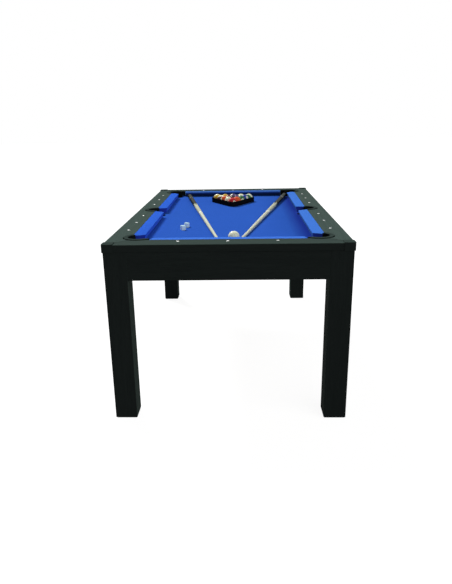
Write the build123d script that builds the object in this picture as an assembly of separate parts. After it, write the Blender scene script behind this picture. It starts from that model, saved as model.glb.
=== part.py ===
from math import asin, cos, degrees, pi, sqrt
import os

from build123d import *

# Pool table for the dining room, in millimetres, standing on z = 0.
# X runs across the table, Y along it, and the end that faces the viewer is at -Y.

# Top frame of four mitred rails
frame_width = 1046
frame_length = 1826
rail_top = 810
rail_thickness = 33
rail_width = 98
rail_edge_radius = 2
groove_bevel = 1.5

# Cushions, measured from the rail's inner edge
cushion_width = 52
nose_drop = 2
nose_bevel = 2.5
cushion_undercut = 9
cushion_float = 2
cushion_cloth = 1
side_corner_nose_gap = 68
side_corner_back_gap = 91
end_corner_nose_gap = 43
end_corner_back_gap = 87
heel_width = 12
heel_length = 28
side_nose_half_gap = 71
side_back_half_gap = 52

# Bed
bed_thickness = 18
bed_cloth_thickness = 1
bed_margin = 0.5
leg_notch_clearance = 1

# Aprons and legs
frame_overhang = 2.5
apron_depth = 122
apron_thickness = 18
apron_edge_radius = 1
leg_size = 98
leg_edge_radius = 2
leg_foot_bevel = 6
leg_floor_gap = 1.5

# Drop pockets
corner_pocket_side_inset = 129
corner_pocket_end_inset = 153
side_pocket_inset = 100
pocket_radius = 46
pocket_floor_radius = 37
pocket_wall = 2.5
pocket_depth = 108
pocket_floor_rounding = 12
pocket_lip_radius = 1.5
pocket_ear = 9
pocket_end_ear = 18
collar_radius = 65
collar_thickness = 4
collar_proud = 3
collar_gap = 2.5
pocket_clearance = 0.5

# Corner caps
cap_reach = 46
cap_proud = 2
cap_rise = 3
cap_corner_radius = 7
cap_edge_radius = 1.2

# Bed supports
cleat_thickness = 20
cleat_depth = 30
cleat_end_gap = 52
beam_thickness = 30
beam_depth = 70
beam_steps_share = (-2.5, -0.5, 0.5, 2.5)
end_cleat_share = 0.72

# Corner brackets, and the bolts used on brackets and rails
bracket_flange = 45
bracket_height = 84
bracket_thickness = 3
bracket_top_gap = 14
bolt_radius = 4
bolt_length = 38
bolt_hole_clearance = 0.25
bolt_head_flats = 13
bolt_head_height = 5.5
washer_radius = 8
washer_thickness = 1.6
bracket_bolt_edge = 20
rail_bolt_inset = 57

# Inlaid sights
sight_radius = 5.5
sight_depth = 3
sight_clearance = 0.1
side_sight_inset = 56
end_sight_inset = 62
side_sight_pitch = 200
end_sight_pitch = 210

# Levelling feet
foot_radius = 25
foot_thickness = 8
foot_edge_radius = 1.5
foot_recess_clearance = 2
foot_travel = 20
stem_radius = 5
stem_grip = 16
stem_running_clearance = 0.05
stem_hole_clearance = 1
foot_nut_radius = 9
foot_nut_length = 16
foot_nut_flange_radius = 13
foot_nut_flange_thickness = 2

# Balls and the triangle that racks them
ball_diameter = 50.8
rest_gap = 0.3
rack_x = 5.5
rack_end_gap = 439
rack_rows = 5
row_pitch_share = sqrt(3) / 2
rack_wall = 5
rack_height = 30
rack_wall_clearance = 2.5
rack_corner_radius = 24
rack_edge_radius = 1.5
cue_ball_x = 23.9
cue_ball_gap = 4.9
racked_balls = ((3,), (11, 5), (13, 8, 6), (15, 7, 12, 2), (9, 1, 4, 10, 14))
ball_names = {
    1: "ball_1_yellow", 2: "ball_2_blue", 3: "ball_3_red", 4: "ball_4_purple",
    5: "ball_5_orange", 6: "ball_6_green", 7: "ball_7_maroon", 8: "ball_8_black",
    9: "ball_9_yellow_stripe", 10: "ball_10_blue_stripe", 11: "ball_11_red_stripe",
    12: "ball_12_purple_stripe", 13: "ball_13_orange_stripe", 14: "ball_14_green_stripe",
    15: "ball_15_maroon_stripe",
}

# Two-piece cues, as long as the playing length allows, with their butts at the far end;
# the gaps run to the nose of the nearest cushion, and the tips' places from the middle line
cue_length_clearance = 78
cue_butt_end_gap = 61.5
cue_butt_side_gaps = {"left": 75, "right": 16}
cue_tip_places = {"left": 45, "right": 53.6}
cue_tip_radius = 6.5
cue_butt_radius = 14.5
tip_length = 6
ferrule_length = 20
joint_collar_length = 14
joint_collar_proud = 0.4
bumper_length = 22
bumper_rounding = 5
cue_joint_share = 0.5

# Chalk cubes, placed from the noses of the left and the near cushion
chalk_size = 22
chalk_edge_radius = 1
chalk_dimple_radius = 14
chalk_dimple_depth = 1.5
chalk_side_gaps = {"near": 142, "far": 154}
chalk_end_gaps = {"near": 329, "far": 398}
chalk_turns_share = {"near": 24 / 360, "far": -14 / 360}

# Overrun of a cutting tool past the face that it opens
overrun = 5

# Places that follow from the sizes above
outer_x = frame_width / 2
outer_y = frame_length / 2
inner_x = outer_x - rail_width
inner_y = outer_y - rail_width
nose_x = inner_x - cushion_width
nose_y = inner_y - cushion_width
rail_bottom = rail_top - rail_thickness
bed_top = rail_bottom
board_top = bed_top - bed_cloth_thickness
board_bottom = board_top - bed_thickness
apron_bottom = rail_bottom - apron_depth
skirt_x = outer_x - frame_overhang
skirt_y = outer_y - frame_overhang
apron_inner_x = skirt_x - apron_thickness
apron_inner_y = skirt_y - apron_thickness
leg_inner_x = skirt_x - leg_size
leg_inner_y = skirt_y - leg_size
leg_x = skirt_x - leg_size / 2
leg_y = skirt_y - leg_size / 2
corner_pocket_x = outer_x - corner_pocket_side_inset
corner_pocket_y = outer_y - corner_pocket_end_inset
side_pocket_x = outer_x - side_pocket_inset
pocket_outer_radius = pocket_radius + pocket_wall
pocket_hole_radius = pocket_outer_radius + pocket_clearance
stem_length = foot_nut_length + foot_travel + stem_grip
ball_radius = ball_diameter / 2
ball_z = bed_top + rest_gap + ball_radius
rack_front_ball_y = nose_y - rack_end_gap
cue_ball_y = -(nose_y - cue_ball_gap - ball_radius)
cue_length = 2 * nose_y - cue_length_clearance

SIDES = {"left": -1, "right": 1}
ENDS = {"near": -1, "far": 1}
POCKETS = {
    "pocket_near_left": (-corner_pocket_x, -corner_pocket_y),
    "pocket_near_right": (corner_pocket_x, -corner_pocket_y),
    "pocket_side_left": (-side_pocket_x, 0),
    "pocket_side_right": (side_pocket_x, 0),
    "pocket_far_left": (-corner_pocket_x, corner_pocket_y),
    "pocket_far_right": (corner_pocket_x, corner_pocket_y),
}


# Helpers


def block(x0, x1, y0, y1, z0, z1):
    """Box between two opposite corners, given in any order."""
    middle = Pos((x0 + x1) / 2, (y0 + y1) / 2, (z0 + z1) / 2)
    return middle * Box(abs(x1 - x0), abs(y1 - y0), abs(z1 - z0))


def rod(x, y, radius, z0, z1):
    """Upright cylinder."""
    return Pos(x, y, (z0 + z1) / 2) * Cylinder(radius, z1 - z0)


def prism(points, z0, z1):
    """Upright prism on an outline."""
    outline = make_face(Polyline(*points, close=True))
    return Pos(0, 0, z0) * extrude(outline, amount=z1 - z0)


def turned(points):
    """Solid of revolution about Z from an outline of (radius, height) points."""
    outline = Plane.XZ * make_face(Polyline(*points, close=True))
    return revolve(outline, axis=Axis.Z)


def subtract(shape, tools):
    """Cut a list of tools from a shape, leaving a plain solid where one is left."""
    for tool in tools:
        shape = shape - tool
    return shape


def single(shape):
    """The one solid of a shape, or the shape itself where it has several."""
    solids = shape.solids()
    return solids[0] if len(solids) == 1 else Compound(children=list(solids))


def group(shapes):
    """Several separate solids that share one node."""
    return Compound(children=[solid for shape in shapes for solid in shape.solids()])


# Rails


def sight_places():
    """Centres of the inlaid sights, three between each pair of pockets."""
    places = []
    for sx in SIDES.values():
        for step in (-3, -2, -1, 1, 2, 3):
            places.append((sx * (outer_x - side_sight_inset), step * side_sight_pitch))
    for sy in ENDS.values():
        for step in (-1, 0, 1):
            places.append((step * end_sight_pitch, sy * (outer_y - end_sight_inset)))
    return places


def rail_bolt_places():
    """Bolts that come up through the bed, one under each sight."""
    bolts = []
    for x, y in sight_places():
        if abs(x) > inner_x:
            bolts.append((x / abs(x) * (outer_x - rail_bolt_inset), y))
        else:
            bolts.append((x, y / abs(y) * (outer_y - rail_bolt_inset)))
    return bolts


def rail_cutters():
    """Pocket holes, collar seats, sight recesses and bolt holes, for all four rails."""
    cutters = []
    seat_radius = collar_radius + collar_gap
    seat_z = rail_top - collar_thickness
    for x, y in POCKETS.values():
        cutters.append(rod(x, y, pocket_hole_radius, rail_bottom - overrun, rail_top + overrun))
        cutters.append(rod(x, y, seat_radius, seat_z, rail_top + overrun))
        bevel = Cone(seat_radius, seat_radius + groove_bevel, groove_bevel)
        cutters.append(Pos(x, y, rail_top - groove_bevel / 2) * bevel)
    for x, y in sight_places():
        cutters.append(rod(x, y, sight_radius + sight_clearance, rail_top - sight_depth,
                           rail_top + overrun))
    depth = bolt_length - bed_thickness - bed_cloth_thickness
    for x, y in rail_bolt_places():
        cutters.append(rod(x, y, bolt_radius + bolt_hole_clearance, rail_bottom - overrun,
                           rail_bottom + depth + sight_clearance))
    return cutters


def rail(corners, lie, cutters):
    """A mitred rail whose long outer edges are rounded."""
    body = prism(corners, rail_bottom, rail_top)
    reach = max(abs(corner) for point in corners for corner in point)
    long_edges = [
        edge for edge in body.edges().filter_by(lie)
        if max(abs(edge.center().X), abs(edge.center().Y)) > reach - rail_width / 2
        or lie == Axis.Y and abs(edge.center().X) > outer_x - rail_width / 2
    ]
    body = fillet(long_edges, rail_edge_radius)
    near = [tool for tool in cutters if body.bounding_box().overlaps(tool.bounding_box())]
    return single(subtract(body, near))


def side_rail(sx, cutters):
    corners = [(sx * outer_x, -outer_y), (sx * outer_x, outer_y),
               (sx * inner_x, inner_y), (sx * inner_x, -inner_y)]
    return rail(corners, Axis.Y, cutters)


def end_rail(sy, cutters):
    corners = [(-outer_x, sy * outer_y), (outer_x, sy * outer_y),
               (inner_x, sy * inner_y), (-inner_x, sy * inner_y)]
    return rail(corners, Axis.X, cutters)


def rail_sights():
    return group(rod(x, y, sight_radius, rail_top - sight_depth, rail_top)
                 for x, y in sight_places())


def corner_cap(sx, sy):
    """Moulded cap over a rail corner: a flat top plate with a skirt down both faces."""
    x_out, y_out = outer_x + cap_proud, outer_y + cap_proud
    x_in, y_in = outer_x - cap_reach, outer_y - cap_reach
    shell = block(x_in, x_out, y_in, y_out, rail_bottom, rail_top + cap_rise)
    upright = shell.edges().filter_by(Axis.Z).sort_by(lambda e: e.center().X + e.center().Y)[-1]
    shell = fillet(upright, cap_corner_radius)
    rim = [edge for edge in shell.faces().sort_by(Axis.Z)[-1].edges()]
    shell = fillet(rim, cap_edge_radius)
    corner = block(x_in - overrun, outer_x, y_in - overrun, outer_y,
                   rail_bottom - overrun, rail_top)
    inner = corner.edges().filter_by(Axis.Z).sort_by(lambda e: e.center().X + e.center().Y)[-1]
    corner = fillet(inner, cap_corner_radius - cap_proud)
    shell = shell - corner
    if sx < 0:
        shell = mirror(shell, about=Plane.YZ)
    if sy < 0:
        shell = mirror(shell, about=Plane.XZ)
    return shell


def rail_corner_cutter(sx, sy):
    """What a rail's sharp mitre loses so that the rounded cap fits over it."""
    radius = cap_corner_radius - cap_proud
    x0, y0 = outer_x - radius, outer_y - radius
    square = block(x0, outer_x + overrun, y0, outer_y + overrun,
                   rail_bottom - overrun, rail_top + overrun)
    cutter = square - rod(x0, y0, radius, rail_bottom - overrun, rail_top + overrun)
    turns = {(1, 1): 0, (-1, 1): 90, (-1, -1): 180, (1, -1): 270}
    if sx * sy > 0:
        return Rot(0, 0, turns[(sx, sy)]) * cutter
    return mirror(cutter, about=Plane.YZ if sx < 0 else Plane.XZ)


# Cushions


def cushion_profile(inset):
    """Section as (distance from the rail, height); inset makes room for the cloth."""
    bottom = bed_top + cushion_float + inset
    top_slope = nose_drop / cushion_width
    face = cushion_width - inset
    return [(0, bottom), (face - cushion_undercut, bottom),
            (face, rail_top - nose_drop - inset - nose_bevel),
            (face - nose_bevel, rail_top - nose_drop - inset + nose_bevel * top_slope),
            (0, rail_top - inset)]


def cushion_bar(half_length, inset):
    """Straight cushion along X, its back on y = 0 and its nose towards +Y."""
    points = [(0, across, height) for across, height in cushion_profile(inset)]
    section = make_face(Polyline(*points, close=True))
    bar = extrude(section, amount=half_length, both=True)
    return bar


def cushion(ends, inset):
    """Cushion cut to its two facings, each given by its nose, back and heel lengths."""
    reach = max(rear for nose, rear, heel in ends) + overrun
    bar = cushion_bar(reach, inset)
    low, high = bed_top, rail_top + overrun
    back, front = 0, cushion_width
    cutters = []
    for sign, (nose, rear, heel) in zip((-1, 1), ends):
        slope = (nose - rear) / (front - back)
        lean = inset * sqrt(1 + slope * slope)
        start = rear - lean - slope * overrun
        finish = nose - lean + slope * overrun
        far = reach + overrun
        cutters.append(prism([(sign * start, back - overrun), (sign * far, back - overrun),
                              (sign * far, front + overrun), (sign * finish, front + overrun)],
                             low, high))
        if heel > 0:
            rise = (heel + slope * heel_width) / heel_width
            start = rear - heel - inset * sqrt(1 + rise * rise)
            cutters.append(prism([(sign * (start - rise * overrun), back - overrun),
                                  (sign * far, back - overrun),
                                  (sign * far, heel_width + overrun),
                                  (sign * (start + rise * (heel_width + overrun)),
                                   heel_width + overrun)], low, high))
    return single(subtract(bar, cutters))


def cushion_places():
    """Name, position, turn and the nose, back and heel lengths of each cushion's ends."""
    places = {}
    plain = (nose_x - end_corner_nose_gap, inner_x - end_corner_back_gap, 0)
    side_middle = (inner_y - side_corner_back_gap + side_back_half_gap) / 2
    corner = (nose_y - side_corner_nose_gap - side_middle,
              inner_y - side_corner_back_gap - side_middle, heel_length)
    middle = (side_middle - side_nose_half_gap, side_middle - side_back_half_gap, 0)
    for end, sy in ENDS.items():
        turn = 0 if sy < 0 else 180
        places[f"cushion_{end}"] = (0, sy * inner_y, turn, (plain, plain))
        for side, sx in SIDES.items():
            turn = -90 if sx < 0 else 90
            ends = (corner, middle) if sx * sy < 0 else (middle, corner)
            places[f"cushion_{side}_{end}"] = (sx * inner_x, sy * side_middle, turn, ends)
    return places


def cushions():
    """Rubber bars and the cloth that wraps the top, nose, underside and ends of each."""
    rubbers, cloths = {}, []
    for name, (x, y, turn, ends) in cushion_places().items():
        place = Pos(x, y, 0) * Rot(0, 0, turn)
        rubber = cushion(ends, cushion_cloth)
        cover = cushion(ends, 0) - rubber
        rubbers[name] = place * rubber
        cloths.append(place * cover)
    return rubbers, group(cloths)


# Bed


def bed_layer(z0, z1):
    """Bed outline with its leg notches, pocket holes and bolt holes."""
    half_x, half_y = apron_inner_x - bed_margin, apron_inner_y - bed_margin
    notch_x, notch_y = leg_inner_x - leg_notch_clearance, leg_inner_y - leg_notch_clearance
    layer = block(-half_x, half_x, -half_y, half_y, z0, z1)
    low, high = z0 - overrun, z1 + overrun
    cutters = [block(sx * notch_x, sx * (half_x + overrun), sy * notch_y,
                     sy * (half_y + overrun), low, high)
               for sx in SIDES.values() for sy in ENDS.values()]
    cutters += [rod(x, y, pocket_hole_radius, low, high) for x, y in POCKETS.values()]
    cutters += [rod(x, y, bolt_radius + bolt_hole_clearance, low, high)
                for x, y in rail_bolt_places()]
    return single(subtract(layer, cutters))


def bed_supports():
    """Cleats along the aprons and beams across, all under the bed board."""
    cleat_top, cleat_bottom = board_bottom, board_bottom - cleat_depth
    cleat_x, cleat_y = apron_inner_x - cleat_thickness, apron_inner_y - cleat_thickness
    side_half = leg_inner_y - cleat_end_gap
    end_half = end_cleat_share * apron_inner_x
    pieces = []
    for sx in SIDES.values():
        pieces.append(block(sx * cleat_x, sx * apron_inner_x, -side_half, side_half,
                            cleat_bottom, cleat_top))
    for sy in ENDS.values():
        pieces.append(block(-end_half, end_half, sy * cleat_y, sy * apron_inner_y,
                            cleat_bottom, cleat_top))
    for share in beam_steps_share:
        middle = share * side_sight_pitch
        beam = block(-cleat_x, cleat_x, middle - beam_thickness / 2, middle + beam_thickness / 2,
                     board_bottom - beam_depth, cleat_top)
        pieces.append(beam)
    return group(pieces)


# Aprons and legs


def side_apron(sx):
    board = block(sx * apron_inner_x, sx * skirt_x, -leg_inner_y, leg_inner_y,
                  apron_bottom, rail_bottom)
    outer = [edge for edge in board.edges().filter_by(Axis.Y)
             if edge.center().Z < rail_bottom - apron_depth / 2]
    return fillet(outer, apron_edge_radius)


def end_apron(sy):
    board = block(-leg_inner_x, leg_inner_x, sy * apron_inner_y, sy * skirt_y,
                  apron_bottom, rail_bottom)
    outer = [edge for edge in board.edges().filter_by(Axis.X)
             if edge.center().Z < rail_bottom - apron_depth / 2]
    return fillet(outer, apron_edge_radius)


def leg(sx, sy):
    """Square leg with a bevelled foot, bored for its levelling foot and bracket bolts."""
    x, y = sx * leg_x, sy * leg_y
    half = leg_size / 2
    post = block(x - half, x + half, y - half, y + half, leg_floor_gap, rail_bottom)
    sole = post.faces().sort_by(Axis.Z)[0]
    post = chamfer(sole.edges(), leg_foot_bevel)
    post = fillet(post.edges().filter_by(Axis.Z), leg_edge_radius)
    recess_top = foot_thickness
    nut_top = recess_top + foot_nut_length
    cutters = [
        rod(x, y, foot_radius + foot_recess_clearance, 0, recess_top),
        rod(x, y, foot_nut_radius, 0, nut_top),
        rod(x, y, foot_nut_flange_radius, 0, recess_top + foot_nut_flange_thickness),
        rod(x, y, stem_radius + stem_hole_clearance, 0, foot_thickness + stem_length + overrun),
    ]
    for place in bracket_bolts(sx, sy):
        cutters.append(place * Cylinder(bolt_radius + bolt_hole_clearance,
                                        2 * (bolt_length + sight_clearance)))
    return single(subtract(post, cutters))


def foot(sx, sy):
    """Levelling foot: a disc under the leg on a threaded stem."""
    x, y = sx * leg_x, sy * leg_y
    disc = rod(x, y, foot_radius, 0, foot_thickness)
    disc = fillet(disc.edges().sort_by(Axis.Z)[0], foot_edge_radius)
    return disc + rod(x, y, stem_radius, foot_thickness, foot_thickness + stem_length)


def foot_nuts():
    """Flanged nuts let into the soles of the legs, above the foot discs."""
    nuts = []
    low = foot_thickness
    for sx in SIDES.values():
        for sy in ENDS.values():
            x, y = sx * leg_x, sy * leg_y
            nut = rod(x, y, foot_nut_radius, low, low + foot_nut_length)
            nut = nut + rod(x, y, foot_nut_flange_radius, low, low + foot_nut_flange_thickness)
            nuts.append(nut - rod(x, y, stem_radius + stem_running_clearance,
                                  low - overrun, low + foot_nut_length + overrun))
    return group(nuts)


# Brackets and bolts


def bracket_bolts(sx, sy):
    """Places of the bolts into one leg, each with its axis pointing into the leg."""
    places = []
    high = rail_bottom - bed_thickness - bracket_top_gap - bracket_bolt_edge
    low = high - bracket_height + 2 * bracket_bolt_edge
    from_corner = bracket_flange - bracket_bolt_edge
    for z in (low, high):
        y_face = sy * leg_inner_y
        places.append(Pos(sx * (apron_inner_x - from_corner), y_face, z)
                      * Rot(-90 * sy, 0, 0))
        x_face = sx * leg_inner_x
        places.append(Pos(x_face, sy * (apron_inner_y - from_corner), z)
                      * Rot(0, 90 * sx, 0))
    return places


def angle_bracket(x_apron, y_leg, sx, sy, along_y):
    """Steel angle between an apron's inner face and the leg's face beside it."""
    top = rail_bottom - bed_thickness - bracket_top_gap
    low = top - bracket_height
    flange, wall = bracket_flange, bracket_thickness
    if along_y:
        first = block(x_apron, x_apron - sx * wall, y_leg, y_leg - sy * flange, low, top)
        second = block(x_apron, x_apron - sx * flange, y_leg, y_leg - sy * wall, low, top)
    else:
        first = block(x_apron, x_apron - sx * flange, y_leg, y_leg - sy * wall, low, top)
        second = block(x_apron, x_apron - sx * wall, y_leg, y_leg - sy * flange, low, top)
    return first + second


def leg_brackets():
    brackets = []
    for sx in SIDES.values():
        for sy in ENDS.values():
            side = angle_bracket(sx * apron_inner_x, sy * leg_inner_y, sx, sy, True)
            end = angle_bracket(sx * leg_inner_x, sy * apron_inner_y, sx, sy, False)
            holes = [place * Cylinder(bolt_radius + bolt_hole_clearance,
                                      2 * (bracket_thickness + overrun))
                     for place in bracket_bolts(sx, sy)]
            brackets += [subtract(side, holes), subtract(end, holes)]
    return group(brackets)


def hex_bolt():
    """Bolt with a washer; its shank points along +Z from the washer's seat at z = 0."""
    shank = Pos(0, 0, bolt_length / 2) * Cylinder(bolt_radius, bolt_length)
    washer = Pos(0, 0, -washer_thickness / 2) * Cylinder(washer_radius, washer_thickness)
    head = extrude(RegularPolygon(bolt_head_flats / 2, 6, major_radius=False),
                   amount=-bolt_head_height)
    return shank + washer + Pos(0, 0, -washer_thickness) * head


def frame_bolts():
    """Bolts through the brackets into the legs, and through the bed into the rails."""
    bolt = hex_bolt()
    bolts = []
    for x, y in rail_bolt_places():
        bolts.append(Pos(x, y, board_bottom) * bolt)
    for sx in SIDES.values():
        for sy in ENDS.values():
            bolts += [place * Pos(0, 0, -bracket_thickness) * bolt
                      for place in bracket_bolts(sx, sy)]
    return group(bolts)


# Pockets


def pocket_liner(x, y):
    """Moulded liner: tapered cup under the bed, wall behind it and collar on the rail.

    The wall goes on past the rail's edge by the length of its ears.
    """
    inner, outer, wall = pocket_radius, pocket_outer_radius, pocket_wall
    cup_bottom = bed_top - pocket_depth
    floor_outer = pocket_floor_radius + wall
    cup = turned([(0, cup_bottom), (floor_outer, cup_bottom), (outer, board_top),
                  (inner, board_top), (pocket_floor_radius, cup_bottom + wall),
                  (0, cup_bottom + wall)])
    heel = [edge for edge in cup.edges().filter_by(GeomType.CIRCLE)
            if edge.center().Z < cup_bottom + 2 * wall and edge.radius > inner / 2]
    cup = fillet([edge for edge in heel if edge.center().Z < cup_bottom + wall / 2],
                 pocket_floor_rounding)
    cup = fillet([edge for edge in cup.edges().filter_by(GeomType.CIRCLE)
                  if abs(edge.center().Z - cup_bottom - wall) < wall / 2
                  and abs(edge.radius - pocket_floor_radius) < wall],
                 pocket_floor_rounding - wall)
    lip, bevel = pocket_lip_radius, groove_bevel
    seat, top = rail_top - collar_thickness, rail_top + collar_proud
    arc_45 = lip * (1 - cos(pi / 4))
    ring = turned([(inner, board_top), (outer, board_top), (outer, top),
                   (inner + lip, top), (inner + arc_45, top - arc_45), (inner, top - lip)])
    flange = turned([(inner + lip, seat), (collar_radius, seat), (collar_radius, top - bevel),
                     (collar_radius - bevel, top), (inner + lip, top)])
    low, high = board_top - overrun, top + overrun
    mouth_x, mouth_y = inner_x - pocket_ear, inner_y - pocket_end_ear
    mouth = block(-mouth_x - x, mouth_x - x, -mouth_y - y, mouth_y - y, low, high)
    rail_x = inner_x + pocket_clearance
    open_bed = block(-rail_x - x, rail_x - x, -mouth_y - y, mouth_y - y, low, high)
    return Pos(x, y, 0) * single(cup + (ring - mouth) + (flange - open_bed))


# Balls, triangle, cues and chalk


def ball_places():
    """Number and centre of each racked ball; the pack's apex faces the viewer."""
    pitch = ball_diameter + rest_gap
    rows = {}
    for row, numbers in enumerate(racked_balls):
        for column, number in enumerate(numbers):
            across = (column - row / 2) * pitch
            along = row * pitch * row_pitch_share
            rows[number] = (rack_x + across, rack_front_ball_y + along)
    return rows


def ball(x, y):
    return Pos(x, y, ball_z) * Sphere(ball_radius)


def ball_triangle():
    """Triangle with rounded corners that holds the racked balls."""
    pitch = ball_diameter + rest_gap
    spread = ball_radius + rack_wall_clearance - rack_corner_radius
    ball_side = (rack_rows - 1) * pitch
    front_y = rack_front_ball_y - 2 * spread
    back_y = rack_front_ball_y + ball_side * row_pitch_share + spread
    half_side = ball_side / 2 + 2 * row_pitch_share * spread
    points = [(rack_x, front_y), (rack_x + half_side, back_y), (rack_x - half_side, back_y)]
    core = make_face(Polyline(*points, close=True))
    outer = extrude(offset(core, amount=rack_corner_radius + rack_wall), amount=rack_height)
    inner = extrude(offset(core, amount=rack_corner_radius), amount=rack_height)
    frame = outer - inner
    rims = [edge for edge in frame.faces().sort_by(Axis.Z)[-1].edges()]
    frame = fillet(rims, rack_edge_radius)
    return Pos(0, 0, bed_top) * single(frame)


def cue_radius(along):
    """Radius at a distance from the tip."""
    return cue_tip_radius + (cue_butt_radius - cue_tip_radius) * along / cue_length


def cue_length_of(start, finish, extra=0):
    """Tapered stretch of the cue, lying along +Z from the tip."""
    stretch = Cone(cue_radius(start) + extra, cue_radius(finish) + extra, finish - start)
    return Pos(0, 0, (start + finish) / 2) * stretch


def cue_parts():
    """Shaft half and butt half of a cue along +Z, each as its own separate solids."""
    joint = cue_joint_share * cue_length
    butt_end = cue_length - bumper_length
    tip = cue_length_of(0, tip_length)
    tip = fillet(tip.edges().sort_by(Axis.Z)[0], cue_tip_radius / 2)
    ferrule = cue_length_of(tip_length, tip_length + ferrule_length)
    shaft = cue_length_of(tip_length + ferrule_length, joint)
    collar = cue_length_of(joint, joint + joint_collar_length, joint_collar_proud / 2)
    butt = cue_length_of(joint + joint_collar_length, butt_end)
    bumper = cue_length_of(butt_end, cue_length)
    bumper = fillet(bumper.edges().sort_by(Axis.Z)[-1], bumper_rounding)
    return group([tip, ferrule, shaft]), group([collar, butt, bumper])


def cue_place(side):
    """Lays a cue on the bed on one side of its taper, its tip close to the middle line."""
    butt_x = SIDES[side] * (nose_x - cue_butt_side_gaps[side])
    tip_x = SIDES[side] * cue_tip_places[side]
    turn = asin((tip_x - butt_x) / cue_length)
    slope = (cue_butt_radius - cue_tip_radius) / cue_length
    height = bed_top + rest_gap + cue_butt_radius * sqrt(1 + slope * slope)
    butt = Pos(butt_x, nose_y - cue_butt_end_gap, height) * Rot(0, 0, degrees(turn))
    return butt * Rot(-90 + degrees(slope), 0, 0) * Pos(0, 0, -cue_length)


def chalk(end):
    """Cube of chalk with a shallow worn hollow in its top."""
    x = chalk_side_gaps[end] - nose_x
    y = chalk_end_gaps[end] - nose_y
    turn = 360 * chalk_turns_share[end]
    cube = Pos(0, 0, chalk_size / 2) * Box(chalk_size, chalk_size, chalk_size)
    upper = [edge for edge in cube.edges() if edge.center().Z > chalk_size / 4]
    cube = fillet(upper, chalk_edge_radius)
    dimple = Pos(0, 0, chalk_size - chalk_dimple_depth + chalk_dimple_radius)
    cube = cube - dimple * Sphere(chalk_dimple_radius)
    return Pos(x, y, bed_top) * Rot(0, 0, turn) * cube


# The whole table


def all_nodes():
    nodes = {}
    cutters = rail_cutters()
    cutters += [rail_corner_cutter(sx, sy) for sx in SIDES.values() for sy in ENDS.values()]
    for side, sx in SIDES.items():
        nodes[f"rail_{side}"] = side_rail(sx, cutters)
        nodes[f"apron_{side}"] = side_apron(sx)
    for end, sy in ENDS.items():
        nodes[f"rail_{end}"] = end_rail(sy, cutters)
        nodes[f"apron_{end}"] = end_apron(sy)
        for side, sx in SIDES.items():
            nodes[f"leg_{end}_{side}"] = leg(sx, sy)
            nodes[f"levelling_foot_{end}_{side}"] = foot(sx, sy)
    nodes["corner_caps"] = group(corner_cap(sx, sy)
                                 for sx in SIDES.values() for sy in ENDS.values())
    nodes["rail_sights"] = rail_sights()
    rubbers, nodes["cushion_cloths"] = cushions()
    nodes.update(rubbers)
    nodes["bed_board"] = bed_layer(board_bottom, board_top)
    nodes["bed_cloth"] = bed_layer(board_top, bed_top)
    nodes["bed_supports"] = bed_supports()
    nodes["foot_nuts"] = foot_nuts()
    nodes["leg_brackets"] = leg_brackets()
    nodes["frame_bolts"] = frame_bolts()
    for name, place in POCKETS.items():
        nodes[name] = pocket_liner(*place)
    for number, place in ball_places().items():
        nodes[ball_names[number]] = ball(*place)
    nodes["cue_ball"] = ball(cue_ball_x, cue_ball_y)
    nodes["ball_triangle"] = ball_triangle()
    shaft, butt = cue_parts()
    for side in SIDES:
        place = cue_place(side)
        nodes[f"cue_shaft_{side}"] = place * shaft
        nodes[f"cue_butt_{side}"] = place * butt
    for end in ENDS:
        nodes[f"chalk_{end}"] = chalk(end)
    return nodes


if __name__ == "__main__":
    os.makedirs("parts", exist_ok=True)
    for node, shape in all_nodes().items():
        export_step(shape, f"parts/{node}.step")
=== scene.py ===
import math

import bpy
from mathutils import Matrix, Vector


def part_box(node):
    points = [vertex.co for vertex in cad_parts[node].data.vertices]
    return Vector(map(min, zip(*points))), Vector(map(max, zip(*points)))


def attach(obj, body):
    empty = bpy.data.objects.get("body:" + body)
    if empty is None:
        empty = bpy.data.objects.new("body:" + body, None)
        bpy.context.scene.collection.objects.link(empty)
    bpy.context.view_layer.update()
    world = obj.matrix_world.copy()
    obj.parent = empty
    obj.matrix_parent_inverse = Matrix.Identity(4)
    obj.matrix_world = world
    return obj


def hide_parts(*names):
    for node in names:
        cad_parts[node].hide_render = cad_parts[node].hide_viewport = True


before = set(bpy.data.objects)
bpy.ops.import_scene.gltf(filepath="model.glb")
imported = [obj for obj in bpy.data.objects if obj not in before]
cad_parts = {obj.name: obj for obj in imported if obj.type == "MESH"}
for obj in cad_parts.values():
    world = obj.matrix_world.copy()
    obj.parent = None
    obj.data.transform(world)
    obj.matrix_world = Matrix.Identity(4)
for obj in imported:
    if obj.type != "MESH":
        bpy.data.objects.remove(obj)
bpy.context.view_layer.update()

bl_info = {
    "name": "Pool Table Dressing",
    "version": (1, 0, 0),
    "blender": (4, 5, 0),
    "location": "3D View > Sidebar > Pool Table",
    "description": "Finishes, cloth, balls, cues and light for the packed pool table",
    "category": "Object",
}

SIDES = {"left": -1, "right": 1}
ENDS = {"near": -1, "far": 1}

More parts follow.
